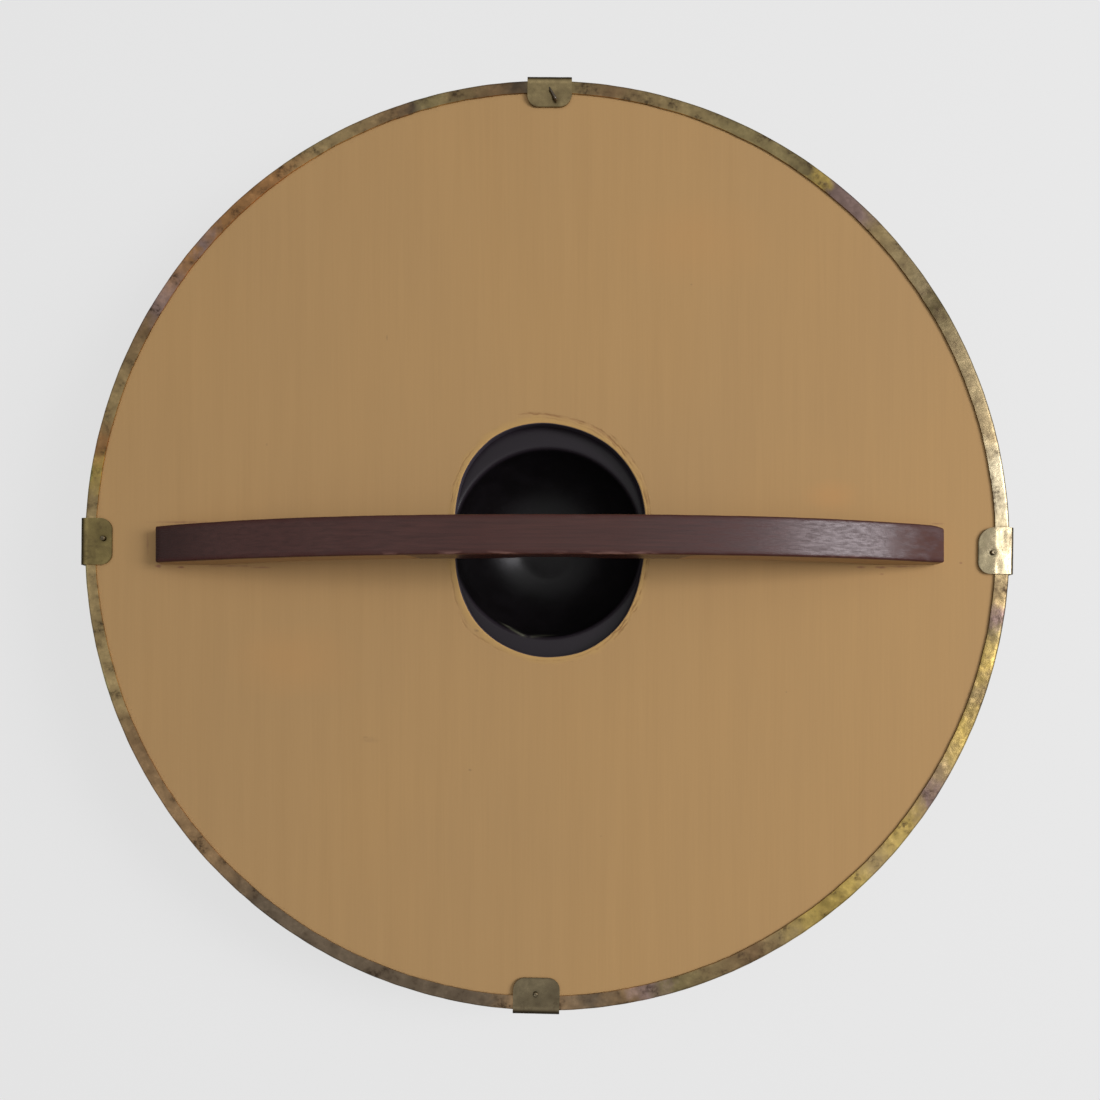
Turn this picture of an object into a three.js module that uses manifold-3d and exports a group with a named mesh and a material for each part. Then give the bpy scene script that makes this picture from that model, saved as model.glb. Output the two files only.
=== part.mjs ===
// A round wooden shield, lying on its boss with its back up.
//
// Millimetres. Z runs up along the shield's axis, from the tip of the boss to the grip. X runs along
// the grip and +Y is the side called the top. The origin is under the middle of the board, on the
// surface that the shield lies on.
//
// A flat painted board carries everything. An iron boss is nailed over its hole from the front, a
// bowed wooden grip is glued across the back, and a folded brass band guards the edge. Four brass
// clips hold the band, each with one fastener through the board.

import * as THREE from 'three';
import { mergeVertices } from 'three/addons/utils/BufferGeometryUtils.js';
import Module from 'manifold-3d';

const wasm = await Module();
wasm.setup();

// ---------------------------------------------------------------- driving dimensions

const GAP = 0.3; // play between pieces that touch
const ROUND = 10; // straight steps round a nail or a rivet
const PAST = 10; // how far a cutting tool runs past what it cuts
const RING_STEPS = 90; // straight steps round the board and its band

// The board is sawn by hand, a little taller than it is wide.
const BOARD = { width: 755.4, height: 759.4, thick: 9, edge: 0.8 };

// The hand hole is a tall round cut by eye. Its reach swings about a mean, with one pair of cosine
// and sine for each of one to four waves round the hole.
const HOLE = {
  x: 2, y: 4, reach: 87.7, swings: [[-0.7, 1.1], [-8.9, -0.3], [0.8, 0.6], [-1.3, 0.7]], steps: 64,
};

// The boss is pressed from one sheet: a dome with a flat rubbed on its tip, and a flange.
const BOSS = {
  x: 0, y: 4, sheet: 1.8, domeRadius: 80, flatRadius: 22, belowCentre: 12,
  bend: 3.5, flangeRadius: 107, steps: 48,
};
const NAIL = { count: 4, circle: 98, headRadius: 4.2, headHeight: 2, shankRadius: 1.3, length: 7.2 };

// The grip is a bar with flat feet at both ends and a long bow between them.
const GRIP = {
  x: 2, y: -1, length: 635, width: 30.3, endTaper: 0.9, endHeight: 12, topHeight: 54.5, topCurve: 2.5,
  bowLength: 536, bowHeight: 33, bowCurve: 3.2, edge: 1.3, steps: 36,
};
const FINGER_SCOOP = { radius: 255, depth: 4, steps: 128 };

// The band is brass sheet folded round the edge of the board, its back leg wider on one side.
const BAND = { sheet: 1, bend: 1.6, frontLeg: 11, backLeg: 11.4, backSway: 1.3, swayAngle: 30 };

// The clips are short brass straps folded over the band, with round inner corners. Each leg lies
// flat on the band and then runs down to the board. The fastener's inset is from the band's edge.
const CLIP = { sheet: 1.2, slack: 1.5, corner: 10, lap: 13.2 };
const CLIPS = [
  { side: 'right', angle: -0.7, width: 38, leg: 26.5, inset: 15.3, aside: -1.5, fastener: 'rivet' },
  { side: 'top', angle: 89.7, width: 36.3, leg: 22.4, inset: 17.6, aside: -4.8, fastener: 'nail' },
  { side: 'left', angle: 179.5, width: 38, leg: 23.1, inset: 16.3, aside: -2.5, fastener: 'rivet' },
  { side: 'bottom', angle: 268.6, width: 38, leg: 27.2, inset: 14.1, aside: -0.7, fastener: 'rivet' },
];
const SHANK = 1.2;
const RIVET = { frontHead: 3.4, frontHeight: 1.6, backHead: 2.2, backHeight: 1.1 };
const CLENCH = { length: 10.5, turnedBy: 30 };

// Heights of the faces, from the ground up.
const flangeMiddle =
  BOSS.sheet / 2 + Math.sqrt(BOSS.domeRadius ** 2 - BOSS.flatRadius ** 2) - BOSS.belowCentre;
const flangeFront = flangeMiddle - BOSS.sheet / 2;
const boardFront = flangeMiddle + BOSS.sheet / 2 + GAP;
const boardBack = boardFront + BOARD.thick;

// ---------------------------------------------------------------- materials

const paint = (color, roughness) => new THREE.MeshStandardMaterial({ color, roughness, metalness: 0 });
const metal = (color, roughness) => new THREE.MeshStandardMaterial({ color, roughness, metalness: 1 });

const ochrePaint = paint(0xa5845b, 0.6);
const brownPaint = paint(0x50392f, 0.35);
const blackIron = metal(0x24222a, 0.3);
const bandBrass = metal(0x9a8048, 0.4);
const clipBrass = metal(0xa38d55, 0.35);
const nailIron = metal(0x4a4440, 0.45);

// ---------------------------------------------------------------- shaping helpers

const radians = THREE.MathUtils.degToRad;

// A point on the line at that angle, in the plane of the board.
const polar = (radius, degrees) => [
  radius * Math.cos(radians(degrees)),
  radius * Math.sin(radians(degrees)),
];

// A closed mesh as a solid that can be cut, and the way back.
function solid(geometry) {
  const bare = geometry.clone();
  bare.deleteAttribute('normal');
  bare.deleteAttribute('uv');
  const merged = mergeVertices(bare, 1e-4);
  return new wasm.Manifold(new wasm.Mesh({
    numProp: 3,
    vertProperties: Float32Array.from(merged.getAttribute('position').array),
    triVerts: Uint32Array.from(merged.getIndex().array),
  }));
}

function shell(manifold) {
  const { vertProperties, triVerts } = manifold.getMesh();
  const geometry = new THREE.BufferGeometry();
  geometry.setAttribute('position', new THREE.BufferAttribute(vertProperties, 3));
  geometry.setIndex(new THREE.BufferAttribute(triVerts, 1));
  return geometry;
}

const cut = (geometry, ...tools) =>
  shell(tools.reduce((left, tool) => left.subtract(solid(tool)), solid(geometry)));

// A profile of [radius, height] pairs turned about Z.
function turned(profile, steps) {
  const geometry = new THREE.LatheGeometry(profile.map(([r, z]) => new THREE.Vector2(r, z)), steps);
  return geometry.rotateX(Math.PI / 2);
}

// An outline of [x, y] pairs raised along Z from one height to another.
function raised(outline, low, high) {
  const shape = new THREE.Shape(outline.map(([x, y]) => new THREE.Vector2(x, y)));
  const geometry = new THREE.ExtrudeGeometry(shape, { depth: high - low, bevelEnabled: false });
  return geometry.translate(0, 0, low);
}

// A round rod standing on Z.
function rod(radius, low, high, x = 0, y = 0) {
  const geometry = new THREE.CylinderGeometry(radius, radius, high - low, ROUND);
  return geometry.rotateX(Math.PI / 2).translate(x, y, (low + high) / 2);
}

// The closed profile of a sheet that follows a line of [x, y] points, half its thickness to each
// side, with mitred corners. The far side comes back in reverse.
function sheetProfile(line, thickness) {
  const points = line.map(([x, y]) => new THREE.Vector2(x, y));
  const normals = points.slice(1).map((point, i) => {
    const run = point.clone().sub(points[i]).normalize();
    return new THREE.Vector2(-run.y, run.x);
  });
  const side = (offset) => points.map((point, i) => {
    const before = normals[Math.max(i - 1, 0)];
    const after = normals[Math.min(i, normals.length - 1)];
    const mitre = before.clone().add(after).normalize();
    const reach = offset / mitre.dot(after);
    return [point.x + mitre.x * reach, point.y + mitre.y * reach];
  });
  return [...side(-thickness / 2), ...side(thickness / 2).reverse()];
}

// Points on an arc between two angles in degrees.
function arc(x, y, radius, from, to, steps) {
  return Array.from({ length: steps + 1 }, (_, i) => {
    const [dx, dy] = polar(radius, from + (to - from) * i / steps);
    return [x + dx, y + dy];
  });
}

function piece(name, geometry, material) {
  const mesh = new THREE.Mesh(geometry, material);
  mesh.name = name;
  return mesh;
}

const shield = new THREE.Group();

// ---------------------------------------------------------------- where the fasteners go

// How far the band's outer edge is from the middle at that angle.
function bandReach(degrees) {
  const halfWidth = BOARD.width / 2 + GAP + BAND.sheet;
  const halfHeight = BOARD.height / 2 + GAP + BAND.sheet;
  const [c, s] = polar(1, degrees);
  return 1 / Math.hypot(c / halfWidth, s / halfHeight);
}

const shankRadius = (clip) => bandReach(clip.angle) - clip.inset;
const nailPlaces = Array.from({ length: NAIL.count }, (_, i) => {
  const [x, y] = polar(NAIL.circle, 45 + 360 * i / NAIL.count);
  return [BOSS.x + x, BOSS.y + y];
});

// ---------------------------------------------------------------- board

function holeOutline() {
  return Array.from({ length: HOLE.steps }, (_, i) => {
    const angle = 360 * i / HOLE.steps;
    const reach = HOLE.swings.reduce((sum, [even, odd], wave) => {
      const [c, s] = polar(1, angle * (wave + 1));
      return sum + even * c + odd * s;
    }, HOLE.reach);
    const [x, y] = polar(reach, angle);
    return [HOLE.x + x, HOLE.y + y];
  });
}

function boardShape() {
  const radius = BOARD.width / 2;
  const disc = turned([
    [0, boardFront],
    [radius - BOARD.edge, boardFront],
    [radius, boardFront + BOARD.edge],
    [radius, boardBack - BOARD.edge],
    [radius - BOARD.edge, boardBack],
    [0, boardBack],
  ], RING_STEPS);
  disc.scale(1, BOARD.height / BOARD.width, 1);
  const nailHoles = nailPlaces.map(([x, y]) =>
    rod(NAIL.shankRadius + GAP, boardFront - PAST, flangeFront + NAIL.length + GAP, x, y));
  const clipHoles = CLIPS.map((clip) => {
    const hole = rod(SHANK + GAP, boardFront - PAST, boardBack + PAST, shankRadius(clip), clip.aside);
    return hole.rotateZ(radians(clip.angle));
  });
  const handHole = raised(holeOutline(), boardFront - PAST, boardBack + PAST);
  return cut(disc, handHole, ...nailHoles, ...clipHoles);
}

shield.add(piece('board', boardShape(), ochrePaint));

// ---------------------------------------------------------------- brass edge band

function bandShape() {
  const outer = BOARD.width / 2 + GAP + BAND.sheet / 2;
  const back = boardBack + GAP + BAND.sheet / 2;
  const front = boardFront - GAP - BAND.sheet / 2;
  const reach = outer + BAND.sheet / 2;
  const line = [
    [reach - BAND.frontLeg, front],
    ...arc(outer - BAND.bend, front + BAND.bend, BAND.bend, -90, 0, 2),
    ...arc(outer - BAND.bend, back - BAND.bend, BAND.bend, 0, 90, 2),
    [reach - BAND.backLeg, back],
  ];
  const profile = sheetProfile(line, BAND.sheet);
  const band = turned([...profile, profile[0]], RING_STEPS);
  // The inner edge of the back leg sways in and out round the board.
  const position = band.getAttribute('position');
  for (let i = 0; i < position.count; i += 1) {
    const [x, y, z] = [position.getX(i), position.getY(i), position.getZ(i)];
    const radius = Math.hypot(x, y);
    if (z > boardBack && radius < outer - BAND.bend - 1) {
      const sway = BAND.backSway * Math.cos(Math.atan2(y, x) + radians(BAND.swayAngle));
      position.setXY(i, x * (radius - sway) / radius, y * (radius - sway) / radius);
    }
  }
  return band.scale(1, BOARD.height / BOARD.width, 1);
}

shield.add(piece('rim_band', bandShape(), bandBrass));

// ---------------------------------------------------------------- iron boss and its nails

function bossShape() {
  const dome = BOSS.domeRadius;
  const centre = flangeMiddle + BOSS.belowCentre;
  const bendZ = flangeMiddle - BOSS.bend;
  const bendR = Math.sqrt((dome + BOSS.bend) ** 2 - (centre - bendZ) ** 2);
  const flatAngle = THREE.MathUtils.radToDeg(Math.asin(BOSS.flatRadius / dome)) - 90;
  const bendAngle = THREE.MathUtils.radToDeg(Math.atan2(bendZ - centre, bendR));
  const line = [
    [0, BOSS.sheet / 2],
    ...arc(0, centre, dome, flatAngle, bendAngle, 8),
    ...arc(bendR, bendZ, BOSS.bend, bendAngle + 180, 90, 3).slice(1),
    [BOSS.flangeRadius, flangeMiddle],
  ];
  const boss = turned(sheetProfile(line, BOSS.sheet), BOSS.steps).translate(BOSS.x, BOSS.y, 0);
  const nailHoles = nailPlaces.map(([x, y]) =>
    rod(NAIL.shankRadius + GAP, flangeFront - PAST, boardFront + PAST, x, y));
  return cut(boss, ...nailHoles);
}

// The profile of a head that faces down, from its crown to its rim.
const domedHead = (radius, height, z) =>
  arc(0, 0, 1, -90, 0, 3).map(([across, up]) => [radius * across, z + height * up]);

function nailShape(x, y) {
  const head = flangeFront - GAP;
  const profile = [
    ...domedHead(NAIL.headRadius, NAIL.headHeight, head),
    [NAIL.shankRadius, head],
    [NAIL.shankRadius, flangeFront + NAIL.length - 1],
    [0, flangeFront + NAIL.length],
  ];
  return turned(profile, ROUND).translate(x, y, 0);
}

shield.add(piece('boss', bossShape(), blackIron));
nailPlaces.forEach(([x, y], i) => {
  shield.add(piece(`boss_nail_${i + 1}`, nailShape(x, y), nailIron));
});

// ---------------------------------------------------------------- grip

function gripShape() {
  const half = GRIP.length / 2;
  const bow = GRIP.bowLength / 2;
  const foot = boardBack + GAP;
  const rise = GRIP.topHeight - GRIP.endHeight;
  const top = (x) => foot + GRIP.endHeight + rise * (1 - Math.abs(x / half) ** GRIP.topCurve);
  const under = (x) => foot + GRIP.bowHeight * (1 - Math.abs(x / bow) ** GRIP.bowCurve);
  const along = (reach, height) => Array.from({ length: GRIP.steps + 1 }, (_, i) => {
    const x = reach * (2 * i / GRIP.steps - 1);
    return new THREE.Vector2(x, height(x));
  });
  const side = new THREE.Shape([
    new THREE.Vector2(-half, foot),
    ...along(bow, under),
    new THREE.Vector2(half, foot),
    ...along(half, top).reverse(),
  ]);
  const bar = new THREE.ExtrudeGeometry(side, {
    depth: GRIP.width - 2 * GRIP.edge, bevelSize: GRIP.edge, bevelOffset: -GRIP.edge,
    bevelThickness: GRIP.edge, bevelSegments: 1, curveSegments: 1,
  });
  bar.rotateX(Math.PI / 2).translate(0, GRIP.width / 2 - GRIP.edge, 0);
  // The bar narrows a little towards both ends.
  const position = bar.getAttribute('position');
  for (let i = 0; i < position.count; i += 1) {
    const taper = GRIP.endTaper / GRIP.width * (position.getX(i) / half) ** 6;
    position.setY(i, position.getY(i) * (1 - taper));
  }
  // A long shallow scoop takes the lower edge off both sides, where the fingers close.
  const middle = new THREE.Vector3(0, GRIP.width / 2, under(0));
  const scoops = [1, -1].map((sign) => {
    const { radius, depth, steps } = FINGER_SCOOP;
    const roller = new THREE.CylinderGeometry(radius, radius, 2 * GRIP.width, steps);
    const away = (radius - depth) / Math.SQRT2;
    roller.rotateX(sign * Math.PI / 4);
    return roller.translate(0, sign * (middle.y + away), middle.z - away);
  });
  return cut(bar, ...scoops).translate(GRIP.x, GRIP.y, 0);
}

shield.add(piece('grip', gripShape(), brownPaint));

// ---------------------------------------------------------------- clips and their fasteners

// Each clip is made with its fold towards +X, and then turned to its place.
function clipShape(clip) {
  const half = CLIP.sheet / 2;
  const reach = bandReach(clip.angle);
  const outer = reach + CLIP.slack + half;
  const overBand = boardBack + 2 * GAP + BAND.sheet + half;
  const onBoard = boardBack + GAP + half;
  const middle = (boardFront + boardBack) / 2;
  const bend = BAND.bend + CLIP.sheet;
  const inner = reach - clip.leg;
  const backLeg = [
    ...arc(outer - bend, overBand - bend, bend, 0, 90, 3),
    [reach - CLIP.lap, overBand],
    [inner - CLIP.sheet, onBoard],
  ];
  const frontLeg = backLeg.map(([r, z]) => [r, 2 * middle - z]).reverse();
  const profile = sheetProfile([...frontLeg, ...backLeg], CLIP.sheet);
  const strap = raised(profile, -clip.width / 2, clip.width / 2).rotateX(Math.PI / 2);
  const { corner } = CLIP;
  const side = clip.width / 2;
  const plan = raised([
    ...arc(inner + corner, side - corner, corner, 180, 90, 5).reverse(),
    ...arc(inner + corner, corner - side, corner, 270, 180, 5).reverse(),
    [outer + PAST, -side - 1],
    [outer + PAST, side + 1],
  ], boardFront - PAST, boardBack + PAST);
  const hole = rod(SHANK + GAP, boardFront - PAST, boardBack + PAST, shankRadius(clip), clip.aside);
  return shell(solid(strap).intersect(solid(plan)).subtract(solid(hole)));
}

// From the board's face to under a fastener's head: band, clip and the play between them.
const stack = GAP + BAND.sheet + GAP + CLIP.sheet + GAP;
const headFront = boardFront - stack;
const headBack = boardBack + stack;
const frontHead = domedHead(RIVET.frontHead, RIVET.frontHeight, headFront);

// A rivet with a domed head in front, spread over at the back.
function rivetShape() {
  const backHead = domedHead(RIVET.backHead, -RIVET.backHeight, headBack).reverse();
  return turned([...frontHead, [SHANK, headFront], [SHANK, headBack], ...backHead], ROUND);
}

// A nail driven from the front, its end bent over to lie on the clip.
function clenchedNailShape() {
  const lying = headBack + SHANK;
  const bend = 1.5 * SHANK;
  const [tipX, tipY] = polar(CLENCH.length, CLENCH.turnedBy);
  const [bendX, bendY] = polar(bend, CLENCH.turnedBy);
  const low = new THREE.Vector3(0, 0, lying - bend);
  const past = new THREE.Vector3(bendX, bendY, lying);
  const path = new THREE.CurvePath();
  path.add(new THREE.LineCurve3(new THREE.Vector3(0, 0, headFront - RIVET.frontHeight / 2), low));
  path.add(new THREE.QuadraticBezierCurve3(low, new THREE.Vector3(0, 0, lying), past));
  path.add(new THREE.LineCurve3(past, new THREE.Vector3(tipX, tipY, lying)));
  const round = new THREE.Shape().absarc(0, 0, SHANK, 0, 2 * Math.PI);
  const shank = new THREE.ExtrudeGeometry(round, {
    extrudePath: path, steps: 18, curveSegments: 5, bevelEnabled: false,
  });
  const head = turned([...frontHead, [0, headFront]], ROUND);
  return shell(solid(shank).add(solid(head)));
}

const fastenerShapes = { rivet: rivetShape, nail: clenchedNailShape };
for (const clip of CLIPS) {
  const station = new THREE.Group();
  station.rotation.z = radians(clip.angle);
  station.add(piece(`clip_${clip.side}`, clipShape(clip), clipBrass));
  const fastener = piece(`${clip.fastener}_${clip.side}`, fastenerShapes[clip.fastener](), nailIron);
  fastener.position.set(shankRadius(clip), clip.aside, 0);
  station.add(fastener);
  shield.add(station);
}

export default shield;
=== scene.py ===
# A round wooden shield, lying on the tip of its boss with its back up.
#
# Metres. Z runs up along the shield's axis, X along the grip, and +Y is the side called the top. The
# origin is under the middle of the board, on the floor.

import math

import bmesh
import bpy
import numpy as np
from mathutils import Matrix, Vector, noise


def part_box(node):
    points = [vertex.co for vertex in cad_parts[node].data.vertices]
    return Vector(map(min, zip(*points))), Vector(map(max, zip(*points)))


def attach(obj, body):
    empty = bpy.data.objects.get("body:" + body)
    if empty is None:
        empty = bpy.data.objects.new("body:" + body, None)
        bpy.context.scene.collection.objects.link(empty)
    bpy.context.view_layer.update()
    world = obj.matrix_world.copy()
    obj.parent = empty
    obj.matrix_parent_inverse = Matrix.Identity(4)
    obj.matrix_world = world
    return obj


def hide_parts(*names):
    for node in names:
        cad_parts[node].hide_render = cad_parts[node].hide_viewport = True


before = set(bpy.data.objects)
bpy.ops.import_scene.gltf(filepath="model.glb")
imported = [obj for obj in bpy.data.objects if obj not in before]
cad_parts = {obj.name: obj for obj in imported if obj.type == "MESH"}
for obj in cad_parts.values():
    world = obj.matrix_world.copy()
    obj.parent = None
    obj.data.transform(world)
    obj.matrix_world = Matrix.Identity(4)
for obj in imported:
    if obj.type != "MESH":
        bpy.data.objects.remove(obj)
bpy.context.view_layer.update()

# ---------------------------------------------------------------- camera
# The camera hangs over the shield's back and looks straight down, a hand's width below the grip.
# The frame is shifted up, so that the whole shield is in it.

board_low, board_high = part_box("board")
BOARD_FRONT = board_low.z
BOARD_BACK = board_high.z

CAMERA_X = 0.0022
CAMERA_Y = -0.118
CAMERA_OVER_BOARD = 0.650

camera = bpy.data.objects.new("camera", bpy.data.cameras.new("camera"))
camera.location = (CAMERA_X, CAMERA_Y, BOARD_BACK + CAMERA_OVER_BOARD)
camera.data.lens = 25.96
camera.data.shift_y = 0.127
bpy.context.scene.collection.objects.link(camera)
bpy.context.scene.camera = camera
bpy.context.scene.view_settings.view_transform = "Standard"

# ---------------------------------------------------------------- floor and lights
# A plain pale floor in a white room, bright overhead and dim along the floor. A soft box stands to
# the right, and its glow spreads round it, so that gloss falls off to the left. Two fills that don't
# show in gloss keep the shadows light.

FLOOR_TONE = 0.79
FLOOR_HALF = 6
FLOOR_DROP = 0.0004
BOX_AWAY = 4
SOFT_BOX = Vector((0.72, 0.14, 0.70)).normalized()


def add_node(tree, kind, sockets=None, **settings):
    """One node in a tree. A socket that is given another node's output is linked, the rest are set."""
    node = tree.nodes.new(kind)
    for name, value in settings.items():
        setattr(node, name, value)
    for name, value in (sockets or {}).items():
        if isinstance(value, bpy.types.NodeSocket):
            tree.links.new(value, node.inputs[name])
        else:
            node.inputs[name].default_value = value
    return node


def hang_light(name, place, side, tone, colour=(1, 1, 1), gloss=True, shadow=True):
    """A square soft light that faces the middle of the board, as bright to look at as its tone."""
    light = bpy.data.lights.new(name, "AREA")
    light.size = side
    light.energy = tone * math.pi * side ** 2
    light.color = colour
    light.use_shadow = shadow
    holder = bpy.data.objects.new(name, light)
    holder.location = place
    holder.rotation_euler = (Vector((0, 0, BOARD_BACK)) - Vector(place)).to_track_quat("-Z", "Y").to_euler()
    holder.visible_glossy = gloss
    bpy.context.scene.collection.objects.link(holder)


hang_light("soft_box", SOFT_BOX * BOX_AWAY, 1.3, 6.8, colour=(0.985, 0.965, 1.03))
hang_light("side_fill", (3.4, 0.2, 2.2), 1.6, 10.5, gloss=False)
hang_light("even_fill", (0, -0.3, 3), 3.0, 0.55, gloss=False, shadow=False)

room = bpy.data.worlds.new("room")
room.use_nodes = True
tree = room.node_tree
look = add_node(tree, "ShaderNodeTexCoord").outputs["Generated"]
up = add_node(tree, "ShaderNodeSeparateXYZ", {0: look}).outputs["Z"]
to_box = add_node(tree, "ShaderNodeVectorMath", {0: look, 1: SOFT_BOX},
                  operation="DOT_PRODUCT").outputs["Value"]
ceiling = add_node(tree, "ShaderNodeMapRange", {"Value": up, "From Min": 0.10, "From Max": 0.80,
                                                "To Min": 0.06, "To Max": 0.34},
                   interpolation_type="SMOOTHSTEP").outputs[0]
halo = add_node(tree, "ShaderNodeMapRange", {"Value": to_box, "From Min": 0.62, "From Max": 0.99,
                                             "To Min": 0.0, "To Max": 0.30},
                interpolation_type="SMOOTHSTEP").outputs[0]
room_tone = add_node(tree, "ShaderNodeMath", {0: ceiling, 1: halo}, operation="ADD").outputs[0]
seen = add_node(tree, "ShaderNodeLightPath").outputs["Is Camera Ray"]
wall_tone = add_node(tree, "ShaderNodeMapRange", {"Value": seen, "To Min": room_tone, "To Max": FLOOR_TONE})
tree.links.new(wall_tone.outputs[0], tree.nodes["Background"].inputs["Strength"])
tree.nodes["Background"].inputs["Color"].default_value = (1, 1, 1, 1)
bpy.context.scene.world = room

floor_bm = bmesh.new()
bmesh.ops.create_grid(floor_bm, x_segments=1, y_segments=1, size=FLOOR_HALF)
bmesh.ops.translate(floor_bm, verts=floor_bm.verts, vec=(0, 0, -FLOOR_DROP))
floor_mesh = bpy.data.meshes.new("floor")
floor_bm.to_mesh(floor_mesh)
floor_bm.free()
floor = bpy.data.objects.new("floor", floor_mesh)
bpy.context.scene.collection.objects.link(floor)

# The floor glows a little to the eye, which keeps it even and its shadow faint.
floor_paint = bpy.data.materials.new("floor_paint")
floor_paint.use_nodes = True
tree = floor_paint.node_tree
lit = tree.nodes["Principled BSDF"]
lit.inputs["Roughness"].default_value = 0.9
lit.inputs["Specular IOR Level"].default_value = 0.1
path = add_node(tree, "ShaderNodeLightPath")
tone = add_node(tree, "ShaderNodeMix", {0: path.outputs["Is Camera Ray"], 6: (0.42, 0.42, 0.42, 1),
                                        7: (0.9, 0.9, 0.9, 1)}, data_type="RGBA")
tree.links.new(tone.outputs[2], lit.inputs["Base Color"])
glow = add_node(tree, "ShaderNodeEmission", {"Color": (FLOOR_TONE, FLOOR_TONE, FLOOR_TONE, 1)})
share = add_node(tree, "ShaderNodeMath", {0: path.outputs["Is Camera Ray"], 1: 0.86}, operation="MULTIPLY")
both = add_node(tree, "ShaderNodeMixShader", {0: share.outputs[0], 1: lit.outputs[0], 2: glow.outputs[0]})
tree.links.new(both.outputs[0], tree.nodes["Material Output"].inputs["Surface"])
floor_mesh.materials.append(floor_paint)

# ---------------------------------------------------------------- board
# A flat round of wood, sawn by hand a little taller than wide, under ochre paint laid on with
# strokes along Y. The hand hole is cut by eye. Its wall is black, and the paint round it is built up,
# yellower, and cracked in a ring where the boss moves behind it.

BOARD_HALF_WIDTH = 0.3777
BOARD_HALF_HEIGHT = 0.3797
BOARD_STEPS = 160
BOARD_FINER = 4
BOARD_CORNER = 0.0008
HOLE_CENTRE = (0.002, 0.004)
HOLE_REACH = 0.0877
HOLE_SWINGS = ((-0.0007, 0.0011), (-0.0089, -0.0003), (0.0008, 0.0006), (-0.0013, 0.0007))
HOLE_CORNER = 0.0011
HOLE_RADIUS = 0.09  # of the plain ring that the board is made from, before it takes the hole's shape
FINE_ZONE = 0.0165  # how far from the hole the paint's relief is modelled
PAINT_BUILD = 0.00018
CRACK_DEPTH = 0.0004


def arc_points(across, up, radius, start, end, steps):
    """Points on an arc between two angles in degrees, in the plane of a profile."""
    turns = np.radians(np.linspace(start, end, steps + 1))
    return [(across + radius * math.cos(turn), up + radius * math.sin(turn)) for turn in turns]


def turned(profile, steps, closed, finer=1):
    """A profile of (radius, height) points turned about Z, as a bmesh that faces outwards."""
    bm = bmesh.new()
    verts = [bm.verts.new((radius, 0, height)) for radius, height in profile]
    ends = verts[1:] + verts[:1] if closed else verts[1:]
    edges = [bm.edges.new(pair) for pair in zip(verts, ends)]
    bmesh.ops.spin(bm, geom=verts + edges, axis=(0, 0, 1), cent=(0, 0, 0), angle=math.tau, steps=steps,
                   use_merge=True)
    bmesh.ops.remove_doubles(bm, verts=bm.verts, dist=1e-7)
    if finer > 1:
        # Only an edge that runs round the axis sweeps an area about it.
        swept = 1e-6
        hoops = [edge for edge in bm.edges if abs(edge.verts[0].co.xy.cross(edge.verts[1].co.xy)) > swept]
        bmesh.ops.subdivide_edges(bm, edges=hoops, cuts=finer - 1, use_grid_fill=True)
        # The points that are added on straight runs are pushed out to the round.
        half = math.pi / steps
        for vert in bm.verts:
            off = math.atan2(vert.co.y, vert.co.x) % (2 * half) - half
            vert.co.xy *= math.cos(off) / math.cos(half)
    bmesh.ops.recalc_face_normals(bm, faces=bm.faces)
    return bm


def make_piece(name, bm, material, sharp=40):
    """The finished piece of a bmesh, smooth but for edges that turn more than an angle in degrees."""
    mesh = bpy.data.meshes.new(name)
    bm.to_mesh(mesh)
    bm.free()
    mesh.materials.append(material)
    mesh.shade_smooth()
    mesh.set_sharp_from_angle(angle=math.radians(sharp))
    piece = bpy.data.objects.new(name, mesh)
    bpy.context.scene.collection.objects.link(piece)
    return piece


def places_of(mesh):
    """Where the mesh's points are, one row each."""
    places = np.empty(len(mesh.vertices) * 3)
    mesh.vertices.foreach_get("co", places)
    return places.reshape(-1, 3)


def move_points(mesh, places):
    mesh.vertices.foreach_set("co", places.ravel())
    mesh.update()


def write_mask(mesh, name, values):
    """A value on each point of a mesh, which its material reads by name."""
    attribute = mesh.attributes.new(name, "FLOAT", "POINT")
    attribute.data.foreach_set("value", np.asarray(values, dtype=np.float32))


def lumps(places, size, seed):
    """Smooth noise from about -1 to 1 at each place, its lumps a size in metres across."""
    shift = Vector((seed * 7.31, seed * 3.17, seed * 5.93))
    return np.array([noise.noise(Vector(place) / size + shift) for place in places])


def ease(low, high, values):
    """From 0 at low to 1 at high, with soft ends. Low may be the larger."""
    share = np.clip((values - low) / (high - low), 0, 1)
    return share * share * (3 - 2 * share)


def hole_reach(angle):
    """How far the hole's edge is from its centre, at an angle round it."""
    reach = HOLE_REACH
    for wave, (even, odd) in enumerate(HOLE_SWINGS, 1):
        reach = reach + even * np.cos(wave * angle) + odd * np.sin(wave * angle)
    return reach


back_fine = [(HOLE_RADIUS + far, BOARD_BACK) for far in np.arange(0.0016, FINE_ZONE, 0.00045)]
back_plain = [(radius, BOARD_BACK) for radius in (0.109, 0.114, *np.linspace(0.122, 0.365, 15))]
front_plain = [(radius, BOARD_FRONT) for radius in np.linspace(0.365, 0.10, 14)]
board_profile = [
    *arc_points(HOLE_RADIUS + BOARD_CORNER, BOARD_FRONT + BOARD_CORNER, BOARD_CORNER, 270, 180, 3),
    (HOLE_RADIUS, (BOARD_FRONT + BOARD_BACK) / 2),
    *arc_points(HOLE_RADIUS + HOLE_CORNER, BOARD_BACK - HOLE_CORNER, HOLE_CORNER, 180, 90, 5),
    *back_fine,
    *back_plain,
    *arc_points(BOARD_HALF_WIDTH - BOARD_CORNER, BOARD_BACK - BOARD_CORNER, BOARD_CORNER, 90, 0, 3),
    *arc_points(BOARD_HALF_WIDTH - BOARD_CORNER, BOARD_FRONT + BOARD_CORNER, BOARD_CORNER, 0, -90, 3),
    *front_plain,
]

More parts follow.
